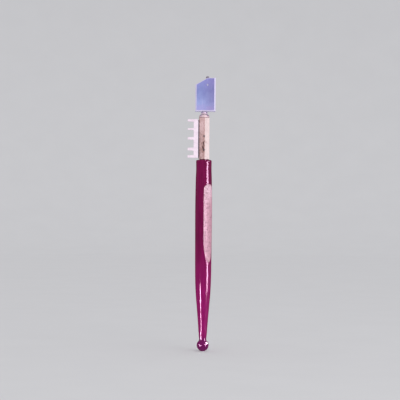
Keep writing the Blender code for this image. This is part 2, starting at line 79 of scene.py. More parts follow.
class Shader:
    """A node material under construction. Coordinates are millimetres on the tool."""

    def __init__(self, name):
        self.material = bpy.data.materials.new(name)
        self.material.use_nodes = True
        self.tree = self.material.node_tree
        self.surface = self.tree.nodes["Principled BSDF"]

    def node(self, kind, inputs, **settings):
        node = self.tree.nodes.new(kind)
        for key, value in settings.items():
            setattr(node, key, value)
        for key, value in inputs.items():
            self.join(value, node.inputs[key])
        return node

    def join(self, value, socket):
        if isinstance(value, bpy.types.NodeSocket):
            self.tree.links.new(value, socket)
        else:
            socket.default_value = value

    def place(self, stretch=(1, 1, 1)):
        """Position on the tool in millimetres, stretched per axis."""
        coordinates = self.node("ShaderNodeTexCoord", {}).outputs["Object"]
        scale = [s / MM for s in stretch]
        return self.node("ShaderNodeMapping", {"Vector": coordinates, "Scale": scale}).outputs[0]

    def along(self, direction):
        """Distance in millimetres along a direction."""
        inputs = {0: self.place(), 1: direction}
        return self.node("ShaderNodeVectorMath", inputs, operation="DOT_PRODUCT").outputs["Value"]

    def noise(self, per_mm, stretch=(1, 1, 1), detail=3.0, roughness=0.55, distortion=0.0):
        return self.node(
            "ShaderNodeTexNoise",
            {
                "Vector": self.place(stretch),
                "Scale": per_mm,
                "Detail": detail,
                "Roughness": roughness,
                "Distortion": distortion,
            },
        ).outputs["Fac"]

    def attribute(self, name):
        return self.node("ShaderNodeAttribute", {}, attribute_name=name).outputs["Fac"]

    def math(self, operation, a, b=0.0):
        return self.node("ShaderNodeMath", {0: a, 1: b}, operation=operation).outputs[0]

    def between(self, value, low, high, to_low=0.0, to_high=1.0):
        """Value mapped smoothly from one range to another, and held at both ends."""
        inputs = {"Value": value, "From Min": low, "From Max": high, "To Min": to_low, "To Max": to_high}
        return self.node("ShaderNodeMapRange", inputs, interpolation_type="SMOOTHSTEP").outputs[0]

    def ramp(self, value, stops):
        """Colour read off a list of (value, colour) stops."""
        node = self.node("ShaderNodeValToRGB", {0: value})
        ramp = node.color_ramp
        ramp.interpolation = "EASE"
        while len(ramp.elements) < len(stops):
            ramp.elements.new(1.0)
        for element, (place, colour) in zip(ramp.elements, stops):
            element.position = place
            element.color = (*colour, 1)
        return node.outputs[0]

    def mix(self, factor, a, b, blend="MIX"):
        """Colour a turning to b as factor goes from 0 to 1."""
        node = self.tree.nodes.new("ShaderNodeMix")
        node.data_type = "RGBA"
        node.blend_type = blend
        for key, value in ((0, factor), (6, a), (7, b)):
            if key and not isinstance(value, bpy.types.NodeSocket):
                value = (*value, 1)
            self.join(value, node.inputs[key])
        return node.outputs[2]

    def tinged(self, base, tint, value, low, high, strength=1.0):
        """Colour base turning to tint, up to a strength, as a value goes from low to high."""
        return self.mix(self.between(value, low, high, 0, strength), base, tint)

    def blend(self, factor, a, b):
        """Number a turning to b as factor goes from 0 to 1."""
        return self.node("ShaderNodeMix", {0: factor, 2: a, 3: b}).outputs[0]

    def edges(self, width_mm):
        """Near 1 along the piece's outer edges, 0 on its open faces."""
        rounded_normal = self.node("ShaderNodeBevel", {"Radius": width_mm * MM}, samples=6).outputs[0]
        normal = self.node("ShaderNodeNewGeometry", {}).outputs["Normal"]
        inputs = {0: rounded_normal, 1: normal}
        alike = self.node("ShaderNodeVectorMath", inputs, operation="DOT_PRODUCT").outputs["Value"]
        return self.between(alike, 0.995, 0.90)

    def facing_away(self):
        """0 where the surface faces the viewer, 1 where it is seen edge-on."""
        return self.node("ShaderNodeLayerWeight", {"Blend": 0.5}).outputs["Facing"]

    def bump(self, height, depth_mm, normal=None):
        inputs = {"Height": height, "Distance": depth_mm * MM, "Strength": 1.0}
        if normal:
            inputs["Normal"] = normal
        return self.node("ShaderNodeBump", inputs).outputs[0]

    def set(self, **inputs):
        """Sets the surface's inputs; an underscore in a keyword stands for a space."""
        for key, value in inputs.items():
            socket = self.surface.inputs[key.replace("_", " ")]
            if isinstance(value, tuple) and len(value) == 3:
                value = (*value, 1)
            self.join(value, socket)
        return self.material


# -------- materials


def lacquer_colour(s, grain):
    """Wine red: lighter low down as painted light, darker along the grain and in clouds, purplish on the
    ball.
    """
    # Painted light: the lacquer is coloured lighter low down on the handle.
    height = s.between(s.along(UP), 30, 80)
    light = s.mix(height, (0.330, 0.0060, 0.142), (0.205, 0.0030, 0.068))
    dark = s.mix(height, (0.225, 0.0030, 0.088), (0.125, 0.0016, 0.040))
    colour = s.tinged(light, dark, grain, 0.36, 0.70, 0.8)
    clouds = s.noise(0.16, (1, 1, 0.5), detail=2)
    colour = s.tinged(colour, dark, clouds, 0.42, 0.7, 0.5)
    return s.tinged(colour, (0.140, 0.0065, 0.092), s.along(UP), 11, 6, 0.85)


def bare_wood_colour(s, across, edge, streak, flecks):
    """Pale wood with painted shade towards the flat's right-hand edge and painted light towards its top:
    grain streaks, clouds, cross marks of the planing, flecks, pores, stained rim.
    """
    # Painted shade: darker across the flat towards its right-hand edge.
    wood = s.tinged((1.0, 0.57, 0.73), (0.55, 0.25, 0.34), s.along(across), -2.8, 2.9)
    # Painted light: lighter towards the top of the flat.
    wood = s.tinged(wood, (1.0, 0.68, 0.82), s.along(UP), 93, 103, 0.8)
    wood = s.tinged(wood, (0.60, 0.29, 0.38), streak, 0.42, 0.62, 0.62)
    clouds = s.noise(0.42, (1, 1, 0.45), detail=3)
    wood = s.tinged(wood, (0.58, 0.28, 0.36), clouds, 0.45, 0.75, 0.55)
    chatter = s.noise(1.1, (0.22, 0.22, 1), detail=3)
    wood = s.tinged(wood, (0.42, 0.19, 0.25), chatter, 0.52, 0.66, 0.45)
    wood = s.mix(flecks, wood, (0.26, 0.11, 0.15))
    pores = s.noise(7.0, (1, 1, 0.14), detail=1)
    wood = s.tinged(wood, (0.45, 0.20, 0.26), pores, 0.60, 0.74, 0.5)
    return s.tinged(wood, (0.50, 0.19, 0.27), edge, 0.32, 0.05, 0.5)


def lacquered_wood(across):
    """Wine-red lacquer over pale wood, with the wood bare where the flats were planed."""
    s = Shader("lacquered_wood")
    ragged = s.between(s.noise(1.6, (1, 1, 0.35), detail=4), 0.3, 0.7, -0.03, 0.03)
    edge = s.math("ADD", s.attribute("planed"), ragged)
    bare = s.between(edge, 0.02, 0.07)
    grain = s.noise(2.2, (1, 1, 0.045), detail=5, distortion=0.25)
    streak = s.noise(1.3, (1, 1, 0.04), detail=4, distortion=0.5)
    flecks = s.between(s.noise(2.1, (1, 1, 0.24), detail=3, roughness=0.6), 0.55, 0.64, 0, 0.8)

    scratches = s.noise(5.0, (1, 0.35, 0.06), detail=3, distortion=0.8)
    worn = s.between(scratches, 0.62, 0.72, 0, 0.12)
    gloss = s.math("ADD", s.between(s.noise(0.5), 0.3, 0.7, 0.08, 0.15), worn)
    dry = s.between(streak, 0.3, 0.7, 0.58, 0.74)
    coat_reflection = s.between(s.facing_away(), 0.34, 0.62, 0.14, 0.0)

    peel = s.bump(s.noise(1.3, detail=1), 0.016)
    peel = s.bump(s.noise(3.4, detail=2), 0.006, peel)
    peel = s.bump(grain, 0.006, peel)
    fibre = s.bump(s.noise(4.5, (1, 1, 0.05), detail=5), 0.07)
    fibre = s.bump(s.math("MULTIPLY", flecks, -1.0), 0.05, fibre)
    normal = s.node("ShaderNodeMix", {0: bare, 4: peel, 5: fibre}, data_type="VECTOR").outputs[1]
    colour = s.mix(bare, lacquer_colour(s, grain), bare_wood_colour(s, across, edge, streak, flecks))
    return s.set(
        Base_Color=colour,
        Roughness=s.blend(bare, gloss, dry),
        Specular_IOR_Level=s.blend(bare, coat_reflection, 0.15),
        Specular_Tint=s.mix(bare, (1.0, 0.55, 0.82), (1.0, 0.9, 0.92)),
        Normal=normal,
    )


def metal(name, colour, dark, roughness, lines, line_depth=0.004, spots=0.25, worn=None):
    """Worked metal: fine tool lines along one direction, cloudy tarnish, small spots, worn edges that also
    darken inner corners as painted shade.
    """
    s = Shader(name)
    cloud = s.noise(0.45, detail=4)
    fine = s.noise(6.0, lines, detail=3)
    tint = s.tinged(colour, dark, cloud, 0.35, 0.75, 0.6)
    tint = s.tinged(tint, dark, s.noise(2.8, detail=2), 0.64, 0.74, spots)
    tint = s.tinged(tint, dark, fine, 0.3, 0.7, 0.4)
    low, high = roughness
    if worn:
        # Darker along the edges: worn plating on outer edges, painted shade in inner corners such as the
        # notch roots.
        nicks = s.between(s.noise(1.8, detail=3), 0.3, 0.6)
        tint = s.mix(s.math("MULTIPLY", s.edges(0.25), nicks), tint, worn)
    return s.set(
        Base_Color=tint,
        Metallic=1.0,
        Roughness=s.between(s.math("ADD", fine, cloud), 0.7, 1.3, low, high),
        Normal=s.bump(fine, line_depth),
    )


def brass_colour(s, cloud, lines):
    """Pale on the right and browner on the left as painted light and shade, darker and veined low down,
    with draw lines along the tube.
    """
    pale = s.tinged((0.98, 0.81, 0.81), (0.90, 0.73, 0.74), cloud, 0.35, 0.72)
    # Colour of the left-hand facets: painted shade, with cloudy tone, darkening low down and tarnish
    # veins.
    shaded_tarnished_brass = s.tinged((0.86, 0.60, 0.62), (0.68, 0.44, 0.44), cloud, 0.40, 0.66)
    wandering = s.math("ADD", s.along(UP), s.between(cloud, 0.2, 0.8, -5, 5))
    low_down = s.between(wandering, 144, 134)
    shaded_tarnished_brass = s.mix(s.math("MULTIPLY", low_down, 0.5), shaded_tarnished_brass, (0.62, 0.38, 0.37))
    veins = s.between(s.noise(1.0, (1, 1, 0.4), detail=5, distortion=1.3), 0.48, 0.57, 0, 0.68)
    shaded_tarnished_brass = s.mix(s.math("MULTIPLY", veins, low_down), shaded_tarnished_brass, (0.22, 0.115, 0.10))
    # Painted light and shade: pale towards the right-hand facets, darker towards the left-hand ones.
    colour = s.tinged(shaded_tarnished_brass, pale, s.along(RIGHT), 0.2, 0.8)
    return s.tinged(colour, (0.60, 0.41, 0.41), lines, 0.3, 0.75, 0.4)


def drawn_brass():
    """Pale brass with draw lines along the tube, dark tarnish round the punched marks and a painted shade
    line down the front corner.
    """
    s = Shader("drawn_brass")
    cloud = s.noise(0.35, (1, 1, 0.6), detail=4)
    lines = s.noise(5.0, (1, 1, 0.035), detail=4)
    colour = brass_colour(s, cloud, lines)
    broken = s.between(s.noise(1.7, (1, 1, 0.5), detail=4), 0.25, 0.75, -0.45, 0.45)
    # The tarnish values also hold a painted shade line down the front corner.
    mark = s.math("ADD", s.attribute("tarnish"), broken)
    colour = s.tinged(colour, (0.40, 0.22, 0.19), mark, 0.22, 0.62, 0.6)
    colour = s.tinged(colour, (0.085, 0.040, 0.045), mark, 0.70, 1.05, 0.9)
    colour = s.tinged(colour, (0.35, 0.22, 0.20), s.noise(3.2, detail=1), 0.66, 0.72, 0.5)
    shine = s.between(s.math("ADD", lines, cloud), 0.7, 1.3, 0.24, 0.36)
    return s.set(
        Base_Color=colour,
        Metallic=s.between(mark, 0.5, 1.1, 1.0, 0.6),
        Roughness=s.math("ADD", shine, s.between(mark, 0.2, 0.9, 0, 0.3)),
        Normal=s.bump(lines, 0.006),
    )


def ground_steel():
    """Blue-grey satin faces ground across the head, with painted reflected light on the face and painted
    highlights on the chamfers.
    """
    s = Shader("ground_steel")
    low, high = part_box("head_block")
    lines = s.noise(7.0, (0.05, 1, 1), detail=4)
    cross = s.noise(2.2, (1, 1, 0.05), detail=3, distortion=0.6)
    cloud = s.noise(0.22, (1.6, 1, 0.8), detail=3)
    height = s.math("DIVIDE", s.math("SUBTRACT", s.along(UP), low.z / MM), (high.z - low.z) / MM)
    height = s.math("ADD", height, s.between(cloud, 0.3, 0.7, -0.08, 0.08))
    # Painted reflected light: the face is brightest low down and darker higher up.
    face = s.ramp(
        height,
        (
            (0.06, (0.42, 0.41, 0.76)),
            (0.22, (0.37, 0.42, 0.76)),
            (0.42, (0.30, 0.34, 0.66)),
            (0.60, (0.26, 0.29, 0.60)),
            (0.85, (0.31, 0.32, 0.68)),
        ),
    )
    # Painted reflection: darker and pinker towards the right.
    rightward = s.between(s.along(RIGHT), -3.0, 6.5)
    face = s.mix(rightward, face, s.mix(1.0, face, (0.88, 0.76, 0.80), "MULTIPLY"))
    face = s.tinged(face, (0.20, 0.21, 0.42), lines, 0.3, 0.7, 0.20)
    face = s.tinged(face, (0.58, 0.55, 0.86), cross, 0.60, 0.72, 0.35)
    face = s.tinged(face, (0.17, 0.16, 0.33), s.noise(3.4, detail=2), 0.66, 0.74, 0.4)
    nicks = s.between(s.noise(1.9, detail=4), 0.34, 0.62)
    # Painted highlight: the chamfers are coloured far brighter than the face, with lighter nicks.
    painted_chamfer_highlight = s.mix(nicks, (0.66, 0.60, 0.86), (0.84, 0.78, 1.0))
    chamfer = s.attribute("chamfer")
    satin = s.between(s.math("ADD", lines, cloud), 0.7, 1.3, 0.32, 0.44)
    return s.set(
        Base_Color=s.mix(chamfer, face, painted_chamfer_highlight),
        Metallic=1.0,
        Roughness=s.blend(chamfer, satin, s.between(nicks, 0, 1, 0.38, 0.24)),
        Normal=s.bump(lines, 0.004),
    )


def plated_steel():
    """Bright plating over stamped steel, darker in the notches as painted shade and along the sheared
    edges as worn plating.
    """
    return metal(
        "plated_steel",
        (1.0, 0.86, 0.97),
        (0.76, 0.62, 0.72),
        (0.22, 0.34),
        (1, 1, 0.08),
        line_depth=0.005,
        spots=0.45,
        worn=(0.70, 0.57, 0.66),
    )


def turned_metal(name, colour, dark):
    return metal(name, colour, dark, (0.22, 0.36), (0.3, 0.3, 1), line_depth=0.003, spots=0.3)


def dark_pin_steel():
    return metal("dark_pin_steel", (0.20, 0.17, 0.19), (0.07, 0.055, 0.065), (0.35, 0.55), (1, 1, 1))


def dull_solder():
    return metal("dull_solder", (0.24, 0.20, 0.24), (0.09, 0.07, 0.09), (0.45, 0.65), (1, 1, 1), 0.02)


def copper_braze():
    return metal("copper_braze", (0.55, 0.36, 0.25), (0.20, 0.12, 0.09), (0.35, 0.55), (1, 1, 1), 0.01)


def clear_diamond():
    s = Shader("clear_diamond")
    cloud = s.noise(3.0, detail=2)
    return s.set(
        Base_Color=s.mix(cloud, (0.92, 0.95, 0.97), (0.75, 0.80, 0.84)),
        Roughness=s.between(cloud, 0.3, 0.7, 0.0, 0.06),
        IOR=2.42,
        Transmission_Weight=0.85,
    )


# -------- mesh building blocks


def shaded_object(name, bm, material, sharp):
    """Turns a bmesh into an object, smooth but for the edges sharper than an angle."""
    bmesh.ops.recalc_face_normals(bm, faces=bm.faces)
    mesh = bpy.data.meshes.new(name)
    bm.to_mesh(mesh)
    bm.free()
    mesh.shade_smooth()
    mesh.set_sharp_from_angle(angle=radians(sharp))
    mesh.materials.append(material)
    obj = bpy.data.objects.new(name, mesh)
    bpy.context.scene.collection.objects.link(obj)
    return obj


def add_piece(name, bm, material, body, slot, *replaced, sharp=30, flat_faces=False):
    """Turns a bmesh in the row frame into a finished piece that rides on a body."""
    piece = shaded_object(name, bm, material, sharp)
    if flat_faces:
        piece.modifiers.new("flat_faces", "WEIGHTED_NORMAL").keep_sharp = True
    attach(piece, body)
    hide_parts(*replaced)
    return piece


def paint(piece, name, value_at):
    """Stores a value for the material at every vertex, worked out from its place."""
    mesh = piece.data
    layer = mesh.attributes.new(name, "FLOAT", "POINT")
    layer.data.foreach_set("value", [value_at(vert.co) for vert in mesh.vertices])


def cut(bm, cutters):
    """The solid with the cutters taken out of it."""
    objects = []
    for solid in (bm, *cutters):
        bmesh.ops.recalc_face_normals(solid, faces=solid.faces)
        mesh = bpy.data.meshes.new("solid")
        solid.to_mesh(mesh)
        solid.free()
        obj = bpy.data.objects.new("solid", mesh)
        bpy.context.scene.collection.objects.link(obj)
        objects.append(obj)
    target = objects[0]
    for cutter in objects[1:]:
        boolean = target.modifiers.new("boolean", "BOOLEAN")
        boolean.operation = "DIFFERENCE"
        boolean.solver = "EXACT"
        boolean.object = cutter
    result = bmesh.new()
    result.from_object(target, bpy.context.evaluated_depsgraph_get())
    for obj in objects:
        mesh = obj.data
        bpy.data.objects.remove(obj)
        bpy.data.meshes.remove(mesh)
    return result


def skin(rings, closed=False):
    """Quads over rings of equal point counts, or over a closed loop of rings."""
    bm = bmesh.new()
    loops = [[bm.verts.new(point) for point in ring] for ring in rings]
    count = len(loops[0])
    pairs = list(zip(loops, loops[1:]))
    if closed:
        pairs.append((loops[-1], loops[0]))
    for lower, upper in pairs:
        for i in range(count):
            j = (i + 1) % count
            bm.faces.new((lower[i], lower[j], upper[j], upper[i]))
    return bm, loops


def close_with_fan(bm, loop, centre):
    """Closes a loop with triangles round a middle point."""
    middle = bm.verts.new(centre)
    for i, vert in enumerate(loop):
        bm.faces.new((vert, loop[(i + 1) % len(loop)], middle))


def circle(radius, height, segments=ROUND_SEGMENTS):
    """Ring of points round the axis."""
    turns = [2 * pi * i / segments for i in range(segments)]
    return [(radius * cos(a), radius * sin(a), height) for a in turns]


LONGEST_ROUNDING = 0.45  # share of a side that one corner's rounding may take


def rounded(profile, radius, steps=4, closed=True):
    """A profile of (radius, height) corners with each corner turned into a small arc."""
    points = [Vector(corner) for corner in profile]
    count = len(points)
    result = []
    for i, corner in enumerate(points):
        if not closed and i in (0, count - 1):
            result.append(corner)
            continue
        before, after = points[i - 1] - corner, points[(i + 1) % count] - corner
        reach = min(radius, before.length * LONGEST_ROUNDING, after.length * LONGEST_ROUNDING)
        start, end = corner + before.normalized() * reach, corner + after.normalized() * reach
        for step in range(steps + 1):
            t = step / steps
            result.append(start * (1 - t) ** 2 + corner * 2 * t * (1 - t) + end * t * t)
    return result


def turned_ring(profile, segments=ROUND_SEGMENTS):
    """Ring-shaped turning from a closed (radius, height) profile."""
    return skin([circle(radius, height, segments) for radius, height in profile], closed=True)[0]


def turned_bar(profile, segments=ROUND_SEGMENTS):
    """Solid turning from an open profile that runs from the foot's edge to the top's edge."""
    bm, loops = skin([circle(radius, height, segments) for radius, height in profile])
    close_with_fan(bm, loops[0], (0, 0, profile[0][1]))
    close_with_fan(bm, loops[-1], (0, 0, profile[-1][1]))
    return bm


def moved(bm, place, along=UP):
    """The same solid with its own Z axis laid along a direction and its origin at a place."""
    turn = UP.rotation_difference(along).to_matrix().to_4x4()
    bmesh.ops.transform(bm, matrix=Matrix.Translation(place) @ turn, verts=bm.verts)
    return bm


def drill_bit(radius, start, end):
    length = (end - start).length
    return moved(turned_bar([(radius, 0), (radius, length)], PIN_SEGMENTS), start, end - start)


def block(low, high):
    """Box between two corners, used only to cut slots."""
    x0, y0, z0 = low
    x1, y1, z1 = high
    rings = [[(x0, y0, z), (x1, y0, z), (x1, y1, z), (x0, y1, z)] for z in (z0, z1)]
    bm, loops = skin(rings)
    for loop in loops:
        bm.faces.new(loop)
    return bm


def cad_copy(node):
    """The CAD node's own shape, with its triangles merged into flat faces."""
    bm = bmesh.new()
    bm.from_mesh(frame["nodes"][node].data)
    bmesh.ops.remove_doubles(bm, verts=bm.verts, dist=SAME_PLACE)
    bmesh.ops.dissolve_limit(bm, angle_limit=radians(1), verts=bm.verts, edges=bm.edges)
    return bm


def round_edges(bm, radius, chosen, segments, sharper_than):
    """Rounds the edges sharper than an angle that pass a test of their two end points."""
    edges = []
    for edge in bm.edges:
        if len(edge.link_faces) == 2 and edge.calc_face_angle() > radians(sharper_than):
            if chosen(edge.verts[0].co, edge.verts[1].co):
                edges.append(edge)
    bmesh.ops.bevel(bm, geom=edges, offset=radius, segments=segments, profile=0.5, affect="EDGES")


def runs_across(start, end):
    """Whether an edge runs from front to back."""
    return abs(start.y - end.y) > 0.9 * (start - end).length


# -------- handle

FLAT_LOW, FLAT_HIGH = 71.5 * MM, 104.4 * MM  # level stretch of the planed flats
FLAT_LOW_RADIUS, FLAT_HIGH_RADIUS = 90 * MM, 5 * MM  # arcs by which they run out
BALL_FOOT_RADIUS = 1.0 * MM
BALL_TOP, NECK_TOP = 6 * MM, 12 * MM  # the neck's narrowest ring lies between these heights
NECK_FILLET = 1.06  # the ball ends where it is this much wider than the neck
SHOULDER_ROUNDING = 0.8 * MM
TENON_RADIUS = 2.7 * MM
TENON_CHAMFER = 0.3 * MM
EDGE_ROUNDING = 0.12 * MM
BALL_STEPS, SHOULDER_STEPS = 44, 8
FULL_RING = 40  # vertices; fewer at one height are the ends of a cut
# Rings round the swell, and the heights at which their spacing changes
RING_SPACINGS_MM = (0.35, 0.9, 0.14, 0.5, 1.1, 0.09, 0.7)
SWELL_START = 14 * MM
FLAT_LOW_END, FLAT_HIGH_END = FLAT_LOW - 16 * MM, FLAT_HIGH + 4 * MM
FLAT_TIP = 5 * MM  # length of the pointed end of the long run-out
# Points round a ring, crowded along the flats' edges
EDGE_LOOPS = (-1.0, -0.6, -0.3, 0.0, 0.3, 0.6, 1.0)
EDGE_ANGLE = 0.045  # half of the crowded stretch, in radians
SMALLEST_HALF_ANGLE = 0.06  # the flats' points keep this spread where no flat is
FLAT_STEPS, ROUND_STEPS = 14, 30
STEEPEST = 0.05  # cosine at which a facet counts as seen edge-on
UNTOUCHED, DEEPEST = -1.0, 2.0  # limits of the stored planing depth, in millimetres


def cad_stations(node):
    """(height, radius) of each full ring of vertices of a turned CAD node."""
    rings = {}
    for vert in frame["nodes"][node].data.vertices:
        rings.setdefault(round(vert.co.z, 6), []).append(hypot(vert.co.x, vert.co.y))
    return [(z, max(radii)) for z, radii in sorted(rings.items()) if len(radii) >= FULL_RING]


def curve_through(stations):
    """Smooth function of height through (height, radius) stations."""
    last = len(stations) - 1
    slopes = []
    for i in range(last + 1):
        (z0, r0), (z1, r1) = stations[max(i - 1, 0)], stations[min(i + 1, last)]
        slopes.append((r1 - r0) / (z1 - z0))

    def radius(height):
        i = max(0, min(last - 1, sum(z <= height for z, _ in stations) - 1))
        (z0, r0), (z1, r1) = stations[i], stations[i + 1]
        t = (height - z0) / (z1 - z0)
        rise = (z1 - z0) * (slopes[i] * t * (1 - t) ** 2 - slopes[i + 1] * t * t * (1 - t))
        return r0 * (1 + 2 * t) * (1 - t) ** 2 + r1 * t * t * (3 - 2 * t) + rise

    return radius


def flat_distance(height, level):
    """Distance of the planed facet from the axis at a height; it runs out at both ends."""
    below, above = FLAT_LOW - height, height - FLAT_HIGH
    if below > 0:
        return level + FLAT_LOW_RADIUS - sqrt(FLAT_LOW_RADIUS**2 - below**2)
    if above > 0:
        drop = min(above, FLAT_HIGH_RADIUS)
        return level + FLAT_HIGH_RADIUS - sqrt(FLAT_HIGH_RADIUS**2 - drop**2)
    return level


def ring_angles(half, turn):
    """Angles round a ring, crowded along the edges of two opposite flats of this half-width."""
    soft = min(EDGE_ANGLE, half / 3)
    inner, outer = half - soft, half + soft
    edge = [half + soft * k for k in EDGE_LOOPS]
    span = [atan(tan(inner) * (2 * i / FLAT_STEPS - 1)) for i in range(1, FLAT_STEPS)]
    round_part = [outer + (pi - 2 * outer) * i / ROUND_STEPS for i in range(1, ROUND_STEPS)]
    one_side = [-a for a in reversed(edge)] + span + edge + round_part
    return [turn + a for a in one_side] + [turn + pi + a for a in one_side]


def steps(low, high, spacing):
    """Evenly spaced heights from low up to, but without, high."""
    count = max(1, round((high - low) / spacing))
    return [low + (high - low) * i / count for i in range(count)]


def handle_heights(neck, shoulder):
    """Ring heights of the swell, closest where the flats run out."""
    tip = FLAT_LOW_END + FLAT_TIP
    changes = (neck, SWELL_START, FLAT_LOW_END, tip, FLAT_LOW, FLAT_HIGH, FLAT_HIGH_END, shoulder)
    heights = []
    for low, high, spacing in zip(changes, changes[1:], RING_SPACINGS_MM):
        heights += steps(low, high, spacing * MM)
    return heights + [shoulder]


def ball_profile(radius, neck_radius):
    """(radius, height) of the ball from its flat foot to the neck."""
    centre = sqrt(radius**2 - BALL_FOOT_RADIUS**2)
    start = asin(BALL_FOOT_RADIUS / radius) - pi / 2
    end = pi / 2 - asin(neck_radius * NECK_FILLET / radius)
    turns = [start + (end - start) * i / BALL_STEPS for i in range(BALL_STEPS + 1)]
    return [(radius * cos(a), centre + radius * sin(a)) for a in turns]


def shoulder_profile(rim, low, high):
    """(radius, height) of the rounded shoulder above the rim of the swell."""
    points = []
    for i in range(1, SHOULDER_STEPS + 1):
        a = pi / 2 * i / SHOULDER_STEPS
        points.append((rim - SHOULDER_ROUNDING * (1 - cos(a)), low + (high - low) * sin(a)))
    return points


def handle_profile():
    """(radius, height, may carry flats) from the ball's foot to the end of the tenon."""
    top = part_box("handle")[1].z
    stations = cad_stations("handle")
    ball_radius = max(r for z, r in stations if z < BALL_TOP)
    neck_height, neck_radius = min((s for s in stations if BALL_TOP < s[0] < NECK_TOP), key=lambda s: s[1])
    shoulder_top = max(z for z, r in stations if r > TENON_RADIUS + TENON_CHAMFER)
    swell_top = shoulder_top - SHOULDER_ROUNDING + SAME_PLACE
    swell = [s for s in stations if neck_height <= s[0] < swell_top]
    radius = curve_through(swell)
    shoulder, rim = swell[-1]
    tenon = [
        (TENON_RADIUS, shoulder_top),
        (TENON_RADIUS, top - TENON_CHAMFER),
        (TENON_RADIUS - TENON_CHAMFER, top),
    ]
    ball = ball_profile(ball_radius, neck_radius)
    above = shoulder_profile(rim, shoulder, shoulder_top) + tenon
    return (
        [(r, z, False) for r, z in ball]
        + [(radius(z), z, True) for z in handle_heights(neck_height, shoulder)]
        + [(r, z, False) for r, z in above]
    )


def soft_min(a, b, width):
    """The smaller of two lengths, with the change from one to the other rounded off."""
    blend = max(width - abs(a - b), 0) / width
    return min(a, b) - blend * blend * width / 4


def make_handle():
    """Turned handle with two opposite planed flats; the finger_flat mount lies on one."""
    mount = next(m for m in frame["record"]["mounts"] if m["name"] == "finger_flat")
    facing = Vector(mount["axis"])
    level = Vector(mount["pos_m"]).dot(facing)
    turn = atan2(facing.y, facing.x)

    def facet_radius(angle, height):
        off = abs((angle - turn + pi / 2) % pi - pi / 2)
        return flat_distance(height, level) / max(cos(off), STEEPEST)

    profile = handle_profile()
    rings = []
    for round_radius, height, may_carry in profile:
        distance = flat_distance(height, level) if may_carry else round_radius
        half = max(acos(min(distance / round_radius, 1)), SMALLEST_HALF_ANGLE)
        ring = []
        for angle in ring_angles(half, turn):
            r = round_radius
            if may_carry:
                r = soft_min(round_radius, facet_radius(angle, height), EDGE_ROUNDING)
            ring.append((r * cos(angle), r * sin(angle), height))
        rings.append(ring)
    bm, loops = skin(rings)
    close_with_fan(bm, loops[0], (0, 0, 0))
    close_with_fan(bm, loops[-1], (0, 0, profile[-1][1]))
    bm = cut(bm, [pin_hole("ferrule_brad_front"), pin_hole("ferrule_brad_back")])
    across = Vector((-facing.y, facing.x, 0))
    wood = lacquered_wood(across)
    handle = add_piece("turned_handle", bm, wood, HANDLE_BODY, "lacquered_wood", "handle")
    heights = [height for _, height, _ in profile]

    def planed(place):
        """How deep, in millimetres, the planing has gone below the round surface."""
        ring = min(bisect(heights, place.z + SAME_PLACE), len(profile)) - 1
        round_radius, _, may_carry = profile[ring]
        if not may_carry:
            return UNTOUCHED
        depth = (round_radius - facet_radius(atan2(place.y, place.x), place.z)) / MM
        return max(UNTOUCHED, min(DEEPEST, depth))

    paint(handle, "planed", planed)
    return handle


# -------- pins

DOME, DOME_STEPS = 0.3, 10  # height of a hammered end, as a share of the pin's radius
PIN_FOOT = 0.2  # chamfer of the hidden end, as a share of the pin's radius
DRILL_OVERRUN = 2 * MM


def pin_ends(node):
    """Radius, inner end and outer end of a CAD pin that lies along Y."""
    low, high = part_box(node)
    radius = (high.z - low.z) / 2
    middle = (low + high) / 2
    front, back = Vector((middle.x, low.y, middle.z)), Vector((middle.x, high.y, middle.z))
    return (radius, back, front) if abs(low.y) > abs(high.y) else (radius, front, back)


def pin_hole(node):
    """Solid that makes the hole of a ferrule pin, a little wider and deeper than the pin."""
    radius, inner, outer = pin_ends(node)
    along = (outer - inner).normalized()
    bottom, mouth = inner - along * 2 * RUNNING_GAP, outer + along * DRILL_OVERRUN
    return drill_bit(radius + RUNNING_GAP, bottom, mouth)


def make_pin(node, name, material, body, both_heads=False):
    """Round pin with a hammered, slightly domed end."""
    radius, inner, outer = pin_ends(node)
    length = (outer - inner).length
    rise = DOME * radius
    turns = [pi / 2 * i / DOME_STEPS for i in range(DOME_STEPS)]
    dome = [(radius * cos(a), rise * sin(a)) for a in turns]
    top = [(r, length - rise + up) for r, up in dome]
    if both_heads:
        foot = [(r, rise - up) for r, up in reversed(dome)]
    else:
        foot = [(radius * (1 - PIN_FOOT), 0), (radius, radius * PIN_FOOT)]
    bm = moved(turned_bar(foot + top, PIN_SEGMENTS), inner, outer - inner)
    add_piece(name, bm, material, body, "pin_steel", node, sharp=50)


# -------- ferrule

FERRULE_FLATS = 6.5 * MM
FERRULE_TURN = radians(7)  # of the front corner towards +X
FERRULE_BORE = 2.75 * MM
CORNER_ROUNDING = 0.35 * MM
CORNER_STEPS = 6
FACET_STEPS = 16
LIP = 0.15 * MM  # how far the rolled foot stands out, and the broken edge at the top
LIP_HEIGHT = 0.9 * MM
PUNCHED_LOW, PUNCHED_HIGH = 126.5 * MM, 140 * MM  # the stretch that carries the punch marks
LIP_STEPS, TOP_STEPS = 10, 5
PLAIN_LOW_STEP, PUNCHED_STEP, PLAIN_HIGH_STEP = 0.5 * MM, 0.15 * MM, 0.8 * MM
TENON_HEIGHTS = (7.2 * MM, 19.2 * MM)  # of the comb's two tabs above its foot
TENON_WIDTH, TENON_LENGTH = 1.0 * MM, 3.0 * MM
TENON_INNER, TENON_OUTER = 1.5 * MM, 0.35 * MM  # reach of a slot from the tab's end, back and on
TENON_GAP = 0.1 * MM
# Punched marks that bite the tube into the wood: angle from the front corner, height, size, depth
PUNCH_MARKS_MM = (
    (3, 134.8, 0.34, 0.11),
    (-5, 133.6, 0.30, 0.09),
    (-25, 134.3, 0.22, 0.06),
    (22, 134.5, 0.22, 0.05),
    (-25, 128.3, 0.22, 0.06),
    (-12, 127.9, 0.26, 0.06),
    (14, 128.0, 0.24, 0.06),
)
